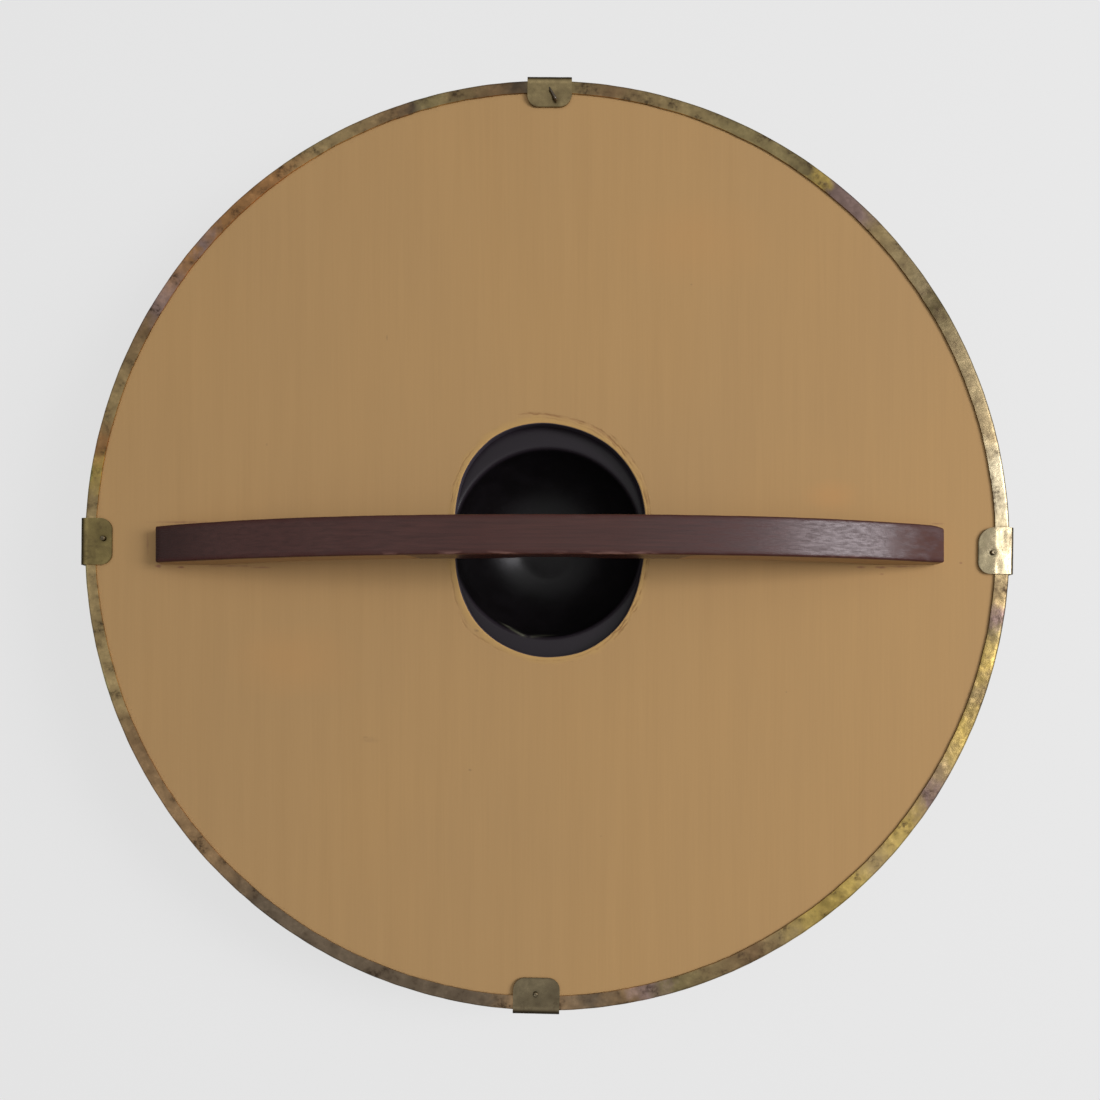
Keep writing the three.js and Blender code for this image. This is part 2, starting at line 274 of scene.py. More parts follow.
# Cracks in the paint, each a line of (angle round the hole, distance from its edge) in degrees and
# millimetres, with its width in millimetres and how much of it is open.
CRACKS = [
    ([(100, 8.9), (95, 8.2), (85, 7.4), (75, 7.3), (65, 7.1), (58, 5.3), (52, 4.4), (43, 3.3), (38, 4.6),
      (28, 2.7), (14, 2.8)], 0.55, 0.85),
    ([(103, 10.0), (97, 9.3), (92, 7.9), (84, 6.2), (72, 6.0), (64, 5.6), (55, 3.4)], 0.5, 0.55),
    ([(96, 5.1), (86, 4.4), (74, 3.9), (62, 3.1)], 0.5, 0.4),
    ([(52, 6.9), (44, 6.2), (36, 6.6), (30, 5.6), (20, 5.0), (12, 4.6)], 0.5, 0.7),
    ([(40, 2.2), (30, 4.2), (22, 3.7), (12, 3.5)], 0.45, 0.6),
    ([(60, 7.9), (52, 6.2), (46, 5.0)], 0.6, 0.5),
    ([(-8, 3.4), (-16, 3.9), (-24, 4.2), (-31, 3.9)], 0.5, 0.85),
    ([(-10, 5.0), (-18, 5.4), (-27, 5.2)], 0.5, 0.5),
    ([(-34, 3.6), (-39, 2.0), (-44, 3.6), (-47, 1.7), (-52, 3.2), (-55, 2.0), (-60, 3.6), (-67, 3.4)],
     0.7, 0.85),
    ([(-38, 5.2), (-43, 3.9), (-47, 5.0), (-51, 4.3), (-57, 5.6)], 0.6, 0.75),
    ([(-62, 2.4), (-74, 3.0), (-88, 3.6), (-100, 4.4)], 0.5, 0.3),
    ([(-112, 5.2), (-122, 6.0), (-130, 8.6), (-136, 9.6), (-142, 8.2)], 0.6, 0.45),
    ([(192, 5.0), (202, 5.6), (214, 6.8), (224, 7.4)], 0.5, 0.35),
    ([(172, 4.9), (160, 4.7), (150, 5.8), (140, 5.4), (128, 4.2)], 0.5, 0.5),
    ([(168, 3.2), (156, 3.4), (146, 3.0)], 0.45, 0.35),
]


def crack_mask(angle, far, places):
    """How open the paint is at points at an angle and a distance from the hole."""
    degrees = np.degrees(angle)
    wander = 0.0009 * lumps(places, 0.0048, 3) + 0.0005 * lumps(places, 0.0018, 6)
    gaps = 0.25 + 0.75 * ease(-0.45, 0.25, lumps(places, 0.007, 4))
    mask = np.zeros_like(far)
    for line, width, opening in CRACKS:
        turns = np.array([turn for turn, _ in line], dtype=float)
        reach = np.array([distance for _, distance in line]) / 1000
        order = np.argsort(turns)
        low, high = turns.min(), turns.max()
        here = (degrees - low) % 360 + low
        path_far = np.interp(here, turns[order], reach[order])
        inside = ease(-2.5, 1.5, here - low) * ease(-2.5, 1.5, high - here)
        inside[here > high + 2.5] = 0
        across = (far - path_far - wander) / (width / 1000)
        mask = np.maximum(mask, np.exp(-across * across) * inside * gaps * opening)
    return mask


def smudge_group():
    """A soft-edged worn or dirty patch, as a mask: an ellipse at a place, with a ragged edge."""
    group = bpy.data.node_groups.new("smudge", "ShaderNodeTree")
    for name, kind in (("Vector", "NodeSocketVector"), ("Place", "NodeSocketVector"),
                       ("Spread", "NodeSocketVector"), ("Ragged", "NodeSocketFloat"),
                       ("Grain", "NodeSocketFloat")):
        group.interface.new_socket(name, in_out="INPUT", socket_type=kind)
    group.interface.new_socket("Mask", in_out="OUTPUT", socket_type="NodeSocketFloat")
    given = add_node(group, "NodeGroupInput").outputs
    away = add_node(group, "ShaderNodeVectorMath", {0: given["Vector"], 1: given["Place"]},
                    operation="SUBTRACT").outputs[0]
    unit = add_node(group, "ShaderNodeVectorMath", {0: away, 1: given["Spread"]},
                    operation="DIVIDE").outputs[0]
    reach = add_node(group, "ShaderNodeVectorMath", {0: unit}, operation="LENGTH").outputs["Value"]
    grain = add_node(group, "ShaderNodeTexNoise", {"Vector": given["Vector"], "Scale": given["Grain"],
                                                   "Detail": 4.0}).outputs[0]
    rough = add_node(group, "ShaderNodeMath", {0: grain, 1: 0.5}, operation="SUBTRACT").outputs[0]
    shift = add_node(group, "ShaderNodeMath", {0: rough, 1: given["Ragged"], 2: reach},
                     operation="MULTIPLY_ADD").outputs[0]
    mask = add_node(group, "ShaderNodeMapRange", {"Value": shift, "From Min": 1.0, "From Max": 0.2,
                                                  "To Min": 0.0, "To Max": 1.0}).outputs[0]
    out = add_node(group, "NodeGroupOutput")
    group.links.new(mask, out.inputs["Mask"])
    return group


smudge = smudge_group()


def object_place(tree):
    return add_node(tree, "ShaderNodeTexCoord").outputs["Object"]


def stretched_noise(tree, where, stretch, detail=3.0, roughness=0.5):
    """Noise with its own number of lumps to the metre along each axis."""
    mapped = add_node(tree, "ShaderNodeMapping", {"Vector": where, "Scale": stretch}).outputs[0]
    return add_node(tree, "ShaderNodeTexNoise", {"Vector": mapped, "Scale": 1.0, "Detail": detail,
                                                 "Roughness": roughness}).outputs[0]


def remap(tree, value, low, high, to_low=0.0, to_high=1.0):
    """The value from low to high spread over another range, and held at its ends."""
    return add_node(tree, "ShaderNodeMapRange", {"Value": value, "From Min": low, "From Max": high,
                                                 "To Min": to_low, "To Max": to_high}).outputs[0]


def mix(tree, share, first, second, blend="MIX"):
    """One colour mixed into another by a share."""
    return add_node(tree, "ShaderNodeMix", {0: share, 6: first, 7: second}, data_type="RGBA",
                    blend_type=blend, clamp_factor=True).outputs[2]


def times(tree, first, second):
    return add_node(tree, "ShaderNodeMath", {0: first, 1: second}, operation="MULTIPLY").outputs[0]


def larger(tree, first, second):
    return add_node(tree, "ShaderNodeMath", {0: first, 1: second}, operation="MAXIMUM").outputs[0]


def mask_of(tree, name):
    return add_node(tree, "ShaderNodeAttribute", attribute_name=name).outputs["Fac"]


def any_smudge(tree, where, patches, ragged, grain):
    """One mask for a list of patches, each a place and a spread in millimetres and a strength."""
    total = None
    for (x, y), (half_x, half_y), strength in patches:
        patch = add_node(tree, "ShaderNodeGroup", node_tree=smudge)
        tree.links.new(where, patch.inputs["Vector"])
        patch.inputs["Place"].default_value = (x / 1000, y / 1000, BOARD_BACK)
        patch.inputs["Spread"].default_value = (half_x / 1000, half_y / 1000, 0.004)
        patch.inputs["Ragged"].default_value = ragged
        patch.inputs["Grain"].default_value = grain
        mask = times(tree, patch.outputs["Mask"], strength)
        total = mask if total is None else larger(tree, total, mask)
    return total


def new_material(name, **plain):
    """A material with one Principled shader, its plain sockets set by name. Returns its tree too."""
    material = bpy.data.materials.new(name)
    material.use_nodes = True
    shader = material.node_tree.nodes["Principled BSDF"]
    for socket, value in plain.items():
        shader.inputs[socket.replace("_", " ")].default_value = value
    return material, material.node_tree, shader


OCHRE = (0.430, 0.262, 0.112, 1)
OCHRE_WARM = (0.450, 0.270, 0.110, 1)
OCHRE_DULL = (0.405, 0.251, 0.112, 1)
YELLOW_PAINT = (0.50, 0.31, 0.105, 1)
CRACK_TONE = (0.23, 0.112, 0.045, 1)
HOLE_BLACK = (0.050, 0.041, 0.053, 1)
GLUE_PINK = (0.25, 0.115, 0.072, 1)
DUST_DARK = (0.20, 0.125, 0.07, 1)

# Smears of the grip's paint and glue beside its feet, and a few specks and scuffs.
FOOT_SMEARS = [
    ((-302, 19.3), (26, 1.0), 0.55), ((-318.5, -16.6), (3.2, 1.7), 0.85), ((-300, -17.6), (3.2, 1.1), 0.8),
    ((-258, -16.6), (24, 1.1), 0.5), ((-234, -17.9), (10, 0.9), 0.6), ((-327.5, 2), (1.2, 12), 0.35),
    ((256, -17.6), (5.5, 1.1), 0.7), ((273, -17.7), (5, 1.2), 0.8), ((292, -17.0), (18, 1.1), 0.6),
    ((274, -23.3), (2.4, 0.9), 0.5), ((339, -14.2), (1.6, 1.1), 0.6), ((320, 18.0), (6, 1.0), 0.45),
]
SPECKS = [
    ((-63.3, -183.8), (1.6, 1.2), 0.7), ((-131.4, 170.2), (0.8, 3.0), 0.55), ((-58, -69.5), (2.4, 1.6), 0.5),
    ((-145.3, -159.2), (9, 3.0), 0.16), ((-149, -157), (3, 1.2), 0.3), ((-230, 83), (1.0, 1.4), 0.35),
    ((118, 214), (1.1, 0.8), 0.4), ((196, -120), (0.9, 1.1), 0.35), ((44, -238), (1.3, 0.8), 0.3),
]
WARM_TINTS = [((231.7, 41.5), (26, 16), 0.5), ((-210, -95), (60, 34), 0.3), ((120, 250), (70, 40), 0.25)]

board_paint, tree, shader = new_material("ochre_board_paint", Roughness=0.7, Specular_IOR_Level=0.2)
where = object_place(tree)
strokes = stretched_noise(tree, where, (620, 11, 620), 4.0, 0.6)
broad_strokes = stretched_noise(tree, where, (95, 4.5, 95), 3.0)
clouds = stretched_noise(tree, where, (5, 4, 5), 3.0)
colour = mix(tree, remap(tree, clouds, 0.35, 0.65), OCHRE_DULL, OCHRE_WARM)
colour = mix(tree, 0.55, colour, OCHRE)
colour = mix(tree, remap(tree, strokes, 0.25, 0.75, 0.0, 0.16), colour, (0.30, 0.18, 0.08, 1))
colour = mix(tree, remap(tree, broad_strokes, 0.3, 0.7, 0.0, 0.10), colour, (0.56, 0.36, 0.17, 1))
colour = mix(tree, any_smudge(tree, where, WARM_TINTS, 0.6, 30.0), colour, (0.50, 0.27, 0.105, 1))
colour = mix(tree, times(tree, mask_of(tree, "yellow"), 0.75), colour, YELLOW_PAINT)
colour = mix(tree, any_smudge(tree, where, FOOT_SMEARS, 1.6, 260.0), colour, GLUE_PINK)
colour = mix(tree, any_smudge(tree, where, SPECKS, 1.2, 420.0), colour, DUST_DARK)
colour = mix(tree, mask_of(tree, "crack"), colour, CRACK_TONE)
colour = mix(tree, mask_of(tree, "hole_wall"), colour, HOLE_BLACK)
tree.links.new(colour, shader.inputs["Base Color"])
tree.links.new(remap(tree, broad_strokes, 0.3, 0.7, 0.64, 0.76), shader.inputs["Roughness"])
relief = add_node(tree, "ShaderNodeMath", {0: strokes, 1: 0.6, 2: broad_strokes}, operation="MULTIPLY_ADD")
bump = add_node(tree, "ShaderNodeBump", {"Height": relief.outputs[0], "Strength": 0.25, "Distance": 0.0002})
tree.links.new(bump.outputs[0], shader.inputs["Normal"])

board_bm = turned(board_profile, BOARD_STEPS, closed=True, finer=BOARD_FINER)
board = make_piece("painted_board", board_bm, board_paint)
places = places_of(board.data)
radius = np.hypot(places[:, 0], places[:, 1])
angle = np.arctan2(places[:, 1], places[:, 0])
far = radius - HOLE_RADIUS
hole_wobble = 0.0004 * lumps(np.c_[np.cos(angle), np.sin(angle), 0 * angle], 0.22, 1)
by_hole = np.c_[np.cos(angle), np.sin(angle)] * (hole_reach(angle) + hole_wobble + far)[:, None]
by_hole += HOLE_CENTRE
by_edge = np.c_[np.cos(angle), np.sin(angle) * BOARD_HALF_HEIGHT / BOARD_HALF_WIDTH] * radius[:, None]
outward = ease(0.118, 0.20, radius)[:, None]
places[:, :2] = by_hole * (1 - outward) + by_edge * outward
on_back = places[:, 2] > BOARD_BACK - 1e-5
near = on_back & (far < FINE_ZONE)
crack = np.zeros_like(far)
crack[near] = crack_mask(angle[near], far[near], places[near])
ragged = np.zeros_like(far)
ragged[near] = 0.0011 * lumps(places[near], 0.009, 2) + 0.0005 * lumps(places[near], 0.003, 5)
build = ease(0.0072, 0.0034, far + 1.6 * ragged) * near
places[:, 2] += PAINT_BUILD * build - CRACK_DEPTH * crack
move_points(board.data, places)
yellow = 0.55 * ease(0.0080, 0.0030, far + 1.8 * ragged) + 0.45 * ease(0.0030, 0.0012, far + 0.5 * ragged)
write_mask(board.data, "yellow", yellow * near)
write_mask(board.data, "crack", np.clip(crack * 0.9, 0, 1))
write_mask(board.data, "hole_wall", ease(0.0009, 0.0004, far) * (places[:, 2] < BOARD_BACK - 0.0001))
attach(board, "root")
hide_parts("board")

# ---------------------------------------------------------------- brass edge band
# One strip of thin brass, hammered over the edge of the board into a U. It is wrinkled where it was
# gathered round the curve, its inner edge wanders, and it has tarnished in patches.

BAND_SHEET = 0.001
BAND_BEND = 0.0016
BAND_FRONT_LEG = 0.011
BAND_BACK_LEG = 0.0114
BAND_STEPS = 180
BAND_FINER = 10
PLAY = 0.0003  # between pieces that touch
CLIP_ANGLES = {"right": -0.7, "top": 89.7, "left": 179.5, "bottom": 268.6}
BAND_REACH = BOARD_HALF_WIDTH + PLAY + BAND_SHEET
BAND_TALL = BOARD_HALF_HEIGHT / BOARD_HALF_WIDTH

# How wide the back leg is, as (angle, millimetres).
BAND_WIDTHS = [(0, 12.1), (20, 12.2), (45, 12.3), (80, 10.7), (100, 10.3), (150, 10.4), (172, 9.7), (181, 9.0),
               (190, 10.2), (225, 11.1), (260, 11.5), (275, 12.3), (305, 13.0), (345, 11.9), (360, 12.1)]

# How deep the wrinkles are, as (angle, millimetres).
BAND_WRINKLES = [(0, 0.12), (8, 0.10), (28, 0.16), (33, 0.34), (38, 0.16), (60, 0.14), (105, 0.14), (170, 0.16),
                 (200, 0.14), (240, 0.24), (285, 0.26), (298, 0.40), (314, 0.42), (320, 0.30), (338, 0.34),
                 (344, 0.40), (350, 0.22), (360, 0.12)]

CREAM = (0.90, 0.78, 0.50)
PALE_TAN = (0.72, 0.56, 0.30)
GOLD = (0.86, 0.62, 0.18)
OLD_BRASS = (0.52, 0.38, 0.18)
OLIVE = (0.30, 0.235, 0.11)
BROWN = (0.26, 0.165, 0.085)
COPPER = (0.52, 0.27, 0.11)
MAUVE = (0.40, 0.275, 0.24)
SMOKE = (0.11, 0.082, 0.055)

# Painted light on the brass, as (angle, share of its tone): the tone is raised where the lamps reflect dimly in
# the band, at the top, left and bottom, and lowered at the right, where the soft box reflects.
BAND_LIGHT_SHARE = [(0, 0.46), (12, 0.61), (36, 0.62), (44, 0.98), (52, 0.85), (60, 1.7), (68, 1.6), (76, 1.2),
               (84, 2.0), (100, 1.8), (108, 2.4), (116, 1.6), (124, 1.8), (132, 1.5), (156, 1.9), (164, 1.4),
               (172, 1.2), (180, 1.9), (190, 1.4), (204, 2.1), (212, 2.8), (228, 3.0), (236, 3.7), (260, 3.3),
               (268, 4.2), (276, 3.2), (284, 1.45), (292, 2.0), (300, 1.4), (308, 0.72), (316, 1.4), (324, 0.87),
               (332, 1.1), (340, 0.6), (348, 0.72), (356, 0.5), (360, 0.46)]

# The colour of the brass, as (angle, tone).
BAND_TONES = [
    (0, PALE_TAN), (4, CREAM), (10, CREAM), (14, PALE_TAN), (26, PALE_TAN), (32, OLIVE), (34, PALE_TAN),
    (43, OLD_BRASS), (47, MAUVE), (51, MAUVE), (53, GOLD), (55, OLIVE), (66, OLIVE), (76, OLD_BRASS),
    (82, BROWN), (89, OLIVE), (93, SMOKE), (97, BROWN), (105, OLIVE), (107, SMOKE), (109, BROWN),
    (120, OLD_BRASS), (126, COPPER), (136, COPPER), (139, MAUVE), (141, COPPER), (148, MAUVE), (152, BROWN),
    (163, OLD_BRASS), (167, COPPER), (171, GOLD), (174, OLD_BRASS), (186, OLD_BRASS), (198, OLD_BRASS),
    (205, BROWN), (222, BROWN), (230, SMOKE), (246, SMOKE), (262, SMOKE), (268, BROWN), (276, SMOKE),
    (280, BROWN), (283, MAUVE), (286, OLIVE), (297, BROWN), (301, OLD_BRASS), (306, GOLD), (312, GOLD),
    (316, OLD_BRASS), (322, GOLD), (327, MAUVE), (331, OLD_BRASS), (336, GOLD), (341, OLD_BRASS),
    (345, GOLD), (349, OLIVE), (351, MAUVE), (353, OLD_BRASS), (360, PALE_TAN),
]


def around(stops, degrees):
    """The value at each angle, from a list of (angle, value) that runs once round."""
    turns = [turn for turn, _ in stops]
    values = np.array([value for _, value in stops], dtype=float)
    if values.ndim == 1:
        return np.interp(degrees % 360, turns, values)
    return np.stack([np.interp(degrees % 360, turns, column) for column in values.T], axis=1)


def sheet_outline(line, thickness):
    """The closed outline of a sheet that follows a line, half its thickness to each side."""
    points = np.array(line)
    runs = np.diff(points, axis=0)
    runs /= np.linalg.norm(runs, axis=1)[:, None]
    sides = np.c_[-runs[:, 1], runs[:, 0]]
    before = np.vstack([sides[:1], sides])
    after = np.vstack([sides, sides[-1:]])
    mitre = before + after
    mitre /= np.linalg.norm(mitre, axis=1)[:, None]
    reach = (thickness / 2) / np.sum(mitre * after, axis=1)
    one, other = points - mitre * reach[:, None], points + mitre * reach[:, None]
    return [tuple(point) for point in one] + [tuple(point) for point in other[::-1]]


def write_tone(mesh, name, tones):
    """A colour on each point of a mesh, which its material reads by name."""
    attribute = mesh.attributes.new(name, "FLOAT_COLOR", "POINT")
    attribute.data.foreach_set("color", np.c_[tones, np.ones(len(tones))].astype(np.float32).ravel())


def brass_group():
    """Tarnish on brass: mottled darkening over a tone, with the roughness and relief that go with it."""
    group = bpy.data.node_groups.new("tarnish", "ShaderNodeTree")
    for name, kind in (("Vector", "NodeSocketVector"), ("Tone", "NodeSocketColor"),
                       ("Stain", "NodeSocketColor"), ("Stained", "NodeSocketFloat"),
                       ("Fine", "NodeSocketFloat"), ("Dull", "NodeSocketFloat")):
        group.interface.new_socket(name, in_out="INPUT", socket_type=kind)
    for name, kind in (("Color", "NodeSocketColor"), ("Roughness", "NodeSocketFloat"),
                       ("Height", "NodeSocketFloat")):
        group.interface.new_socket(name, in_out="OUTPUT", socket_type=kind)
    given = add_node(group, "NodeGroupInput").outputs
    fine = add_node(group, "ShaderNodeTexNoise", {"Vector": given["Vector"], "Scale": given["Fine"],
                                                  "Detail": 5.0, "Roughness": 0.62}).outputs[0]
    broad_scale = times(group, given["Fine"], 0.23)
    broad = add_node(group, "ShaderNodeTexNoise", {"Vector": given["Vector"], "Scale": broad_scale,
                                                   "Detail": 3.0}).outputs[0]
    patches = times(group, remap(group, broad, 0.42, 0.66), remap(group, fine, 0.34, 0.62))
    stained = times(group, patches, given["Stained"])
    shade = remap(group, fine, 0.3, 0.72, 0.78, 1.16)
    lively = add_node(group, "ShaderNodeVectorMath", {0: given["Tone"], "Scale": shade},
                      operation="SCALE").outputs[0]
    colour = mix(group, stained, lively, given["Stain"])
    rough = add_node(group, "ShaderNodeMath", {0: stained, 1: 0.26, 2: given["Dull"]},
                     operation="MULTIPLY_ADD").outputs[0]
    height = add_node(group, "ShaderNodeMath", {0: fine, 1: 0.35, 2: broad},
                      operation="MULTIPLY_ADD").outputs[0]
    out = add_node(group, "NodeGroupOutput")
    for name, value in (("Color", colour), ("Roughness", rough), ("Height", height)):
        group.links.new(value, out.inputs[name])
    return group


tarnish = brass_group()


def brass_material(name, stain, stained, fine, dull, strength, distance):
    """Brass whose tone is on its mesh, with tarnish of its own strength and fineness."""
    material, tree, shader = new_material(name, Metallic=1.0)
    brass = add_node(tree, "ShaderNodeGroup", node_tree=tarnish)
    tone = add_node(tree, "ShaderNodeAttribute", attribute_name="tone").outputs["Color"]
    tree.links.new(object_place(tree), brass.inputs["Vector"])
    tree.links.new(tone, brass.inputs["Tone"])
    brass.inputs["Stain"].default_value = stain
    brass.inputs["Stained"].default_value = stained
    brass.inputs["Fine"].default_value = fine
    brass.inputs["Dull"].default_value = dull
    tree.links.new(brass.outputs["Color"], shader.inputs["Base Color"])
    tree.links.new(brass.outputs["Roughness"], shader.inputs["Roughness"])
    bump = add_node(tree, "ShaderNodeBump", {"Height": brass.outputs["Height"], "Strength": strength,
                                             "Distance": distance})
    tree.links.new(bump.outputs[0], shader.inputs["Normal"])
    return material


band_brass = brass_material("band_brass", (0.085, 0.055, 0.035, 1), 0.85, 330.0, 0.30, 0.5, 0.0004)

band_middle = BAND_REACH - BAND_SHEET / 2
band_back = BOARD_BACK + PLAY + BAND_SHEET / 2
band_front = BOARD_FRONT - PLAY - BAND_SHEET / 2
front_edge = BAND_REACH - BAND_FRONT_LEG
back_edge = BAND_REACH - BAND_BACK_LEG
bend_start = band_middle - BAND_BEND
band_line = [
    *[(radius, band_front) for radius in np.linspace(front_edge, bend_start, 5)[:-1]],
    *arc_points(bend_start, band_front + BAND_BEND, BAND_BEND, -90, 0, 4),
    (band_middle, (band_front + band_back) / 2),
    *arc_points(bend_start, band_back - BAND_BEND, BAND_BEND, 0, 90, 4),
    *[(radius, band_back) for radius in np.linspace(bend_start, back_edge, 11)[1:]],
]
band_bm = turned(sheet_outline(band_line, BAND_SHEET), BAND_STEPS, closed=True, finer=BAND_FINER)
band = make_piece("folded_band", band_bm, band_brass, 60)
places = places_of(band.data)
radius = np.hypot(places[:, 0], places[:, 1])
angle = np.arctan2(places[:, 1], places[:, 0])
degrees = np.degrees(angle) % 360
out = places[:, :2] / radius[:, None]
on_leg = (places[:, 2] > BOARD_BACK) & (radius < bend_start + 1e-6)
clear = np.ones_like(degrees)
for clip_angle in CLIP_ANGLES.values():
    off = np.abs((degrees - clip_angle + 180) % 360 - 180)
    clear *= ease(2.6, 4.6, off)
ring = np.c_[out * BAND_REACH, 0 * angle]
edge_wander = 0.00035 * lumps(ring, 0.016, 11) + 0.00016 * lumps(ring, 0.005, 12)
leg = around(BAND_WIDTHS, degrees) / 1000 + edge_wander * (0.4 + 0.6 * clear)
wrapped = BAND_REACH - bend_start
longer = (leg - wrapped) / (BAND_BACK_LEG - wrapped)
radius = np.where(on_leg, bend_start - (bend_start - radius) * longer, radius)
flat = np.c_[out * radius[:, None], 0 * angle]
depth = around(BAND_WRINKLES, degrees) / 1000 * clear
ridges = 1 - 2 * np.abs(lumps(flat, 0.0085, 13))
swells = lumps(flat, 0.011, 14)
dents = lumps(flat, 0.0042, 15)
lift = depth * np.clip(0.45 + 0.5 * swells + 0.42 * (ridges - 0.45) + 0.25 * dents, 0, 1.6)
# The leg is pressed down along its inner edge and pulled tight over the edge of the board.
inner = BAND_REACH - leg
held = ease(0.0, 0.0016, radius - inner) * 0.7 + 0.3
lift *= np.where(on_leg, held, 0) * ease(0.0, 0.0030, BAND_REACH - radius)
places[:, 2] += lift
side = ease(0.004, 0.0, BAND_REACH - radius)
knock = 0.00022 * lumps(np.c_[out * BAND_REACH, places[:, 2]], 0.012, 16) * side * (0.3 + 0.7 * clear)
radius = radius + np.clip(knock, -0.0002, 0.0003)
places[:, 0] = out[:, 0] * radius
places[:, 1] = out[:, 1] * radius * BAND_TALL
move_points(band.data, places)
shuffle = 1.6 * lumps(flat, 0.010, 17) + 0.9 * lumps(flat, 0.0035, 18)
# The tone by angle, scaled by the painted light round the band.
tones = around(BAND_TONES, degrees + shuffle) * around(BAND_LIGHT_SHARE, degrees)[:, None]
# Painted shade darkens the turned edge and all below it, and a painted highlight brightens the bend above it.
bend_highlight = ease(0.0035, 0.0012, BAND_REACH - radius) * (places[:, 2] > BOARD_BACK)
tones = tones * (1 + 0.25 * bend_highlight)[:, None]
shaded = ease(BOARD_BACK + 0.0006, BOARD_BACK - 0.0008, places[:, 2])
tones = tones * (1 - 0.45 * shaded)[:, None]
write_tone(band.data, "tone", np.clip(tones, 0, 1))
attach(band, "root")
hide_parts("rim_band")

# ---------------------------------------------------------------- iron boss
# The boss is pressed and hammered from one iron sheet, a half ball with a flat flange, and lacquered
# black. Inside it shows through the hand hole, scuffed where knuckles and buckles rub its lip.

BOSS_Y = 0.004
BOSS_SHEET = 0.0018
BOSS_DOME = 0.080
BOSS_FLAT = 0.022
BOSS_BELOW = 0.012
BOSS_BEND = 0.0035
BOSS_FLANGE = 0.107
BOSS_STEPS = 192

flange_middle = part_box("boss")[1].z - BOSS_SHEET / 2
dome_centre = flange_middle + BOSS_BELOW
bend_z = flange_middle - BOSS_BEND
bend_r = math.sqrt((BOSS_DOME + BOSS_BEND) ** 2 - (dome_centre - bend_z) ** 2)
flat_angle = math.degrees(math.asin(BOSS_FLAT / BOSS_DOME)) - 90
mouth_angle = math.degrees(math.atan2(bend_z - dome_centre, bend_r))
boss_line = [
    *[(radius, BOSS_SHEET / 2) for radius in np.linspace(0, BOSS_FLAT - 0.002, 6)],
    *arc_points(0, dome_centre, BOSS_DOME, flat_angle + 1.2, mouth_angle, 26),
    *arc_points(bend_r, bend_z, BOSS_BEND, mouth_angle + 180, 90, 7)[1:],
    *[(radius, flange_middle) for radius in np.linspace(bend_r + 0.003, BOSS_FLANGE, 6)],
]

black_iron, tree, shader = new_material("black_iron", Specular_IOR_Level=0.5)
where = object_place(tree)
mottle = stretched_noise(tree, where, (55, 55, 55), 4.0, 0.55)
specks = stretched_noise(tree, where, (420, 420, 420), 3.0, 0.6)
colour = mix(tree, remap(tree, mottle, 0.35, 0.7), (0.0030, 0.0022, 0.0026, 1), (0.0052, 0.0040, 0.0050, 1))
height_of = add_node(tree, "ShaderNodeSeparateXYZ", {0: where}).outputs["Z"]
# The flange is painted lighter than the dome below it, a painted shade for the dome's deep hollow.
lit_flange = remap(tree, height_of, flange_middle - 0.0035, flange_middle)
colour = mix(tree, lit_flange, colour, (0.0135, 0.0095, 0.0135, 1))
colour = mix(tree, remap(tree, specks, 0.66, 0.74, 0.0, 0.35), colour, (0.05, 0.042, 0.045, 1))
colour = mix(tree, times(tree, mask_of(tree, "scuff"), 0.8), colour, (0.16, 0.16, 0.11, 1))
tree.links.new(colour, shader.inputs["Base Color"])
tree.links.new(remap(tree, mottle, 0.3, 0.7, 0.30, 0.38), shader.inputs["Roughness"])
bump = add_node(tree, "ShaderNodeBump", {"Height": mottle, "Strength": 0.12, "Distance": 0.0006})
tree.links.new(bump.outputs[0], shader.inputs["Normal"])

boss = make_piece("boss_shell", turned(sheet_outline(boss_line, BOSS_SHEET), BOSS_STEPS, closed=False),
                  black_iron, 60)
places = places_of(boss.data)
radius = np.hypot(places[:, 0], places[:, 1])
# Hammer marks, deepest half way up the dome. The tip and the flange stay as they were pressed.
beaten = ease(0.024, 0.045, radius) * ease(0.082, 0.072, radius)
marks = 0.00010 * lumps(places, 0.016, 21) * beaten
toward = places - (0, 0, dome_centre)
toward /= np.maximum(np.linalg.norm(toward, axis=1), 1e-9)[:, None]
places += toward * marks[:, None]
places[:, 1] += BOSS_Y
move_points(boss.data, places)

# Scuffs on the lip, each from a point to a point in metres, with its width and strength.
SCUFFS = [
    ((-0.0445, -0.0560), (-0.0300, -0.0672), 0.0007, 1.0),
    ((-0.0300, -0.0672), (-0.0190, -0.0735), 0.0008, 0.9),
    ((-0.0130, -0.0738), (0.0030, -0.0712), 0.0012, 0.35),
    ((-0.0040, -0.0706), (0.0060, -0.0712), 0.0010, 0.4),
]
scuff = np.zeros(len(places))
for start, end, width, strength in SCUFFS:
    start, run = np.array(start), np.subtract(end, start)
    along = np.clip((places[:, :2] - start) @ run / (run @ run), 0, 1)
    off = np.linalg.norm(places[:, :2] - start - along[:, None] * run, axis=1)
    scuff = np.maximum(scuff, np.exp(-(off / width) ** 2) * strength)
write_mask(boss.data, "scuff", scuff * (places[:, 2] > flange_middle - 0.012))
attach(boss, "root")
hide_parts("boss")

# ---------------------------------------------------------------- nails of the boss
# Four iron nails hold the flange from the front. Their heads are low domes with hammered flats.

NAIL_CIRCLE = 0.098
NAIL_HEAD = 0.0042
NAIL_HEAD_HEIGHT = 0.002
NAIL_SHANK = 0.0013
NAIL_LENGTH = 0.0072


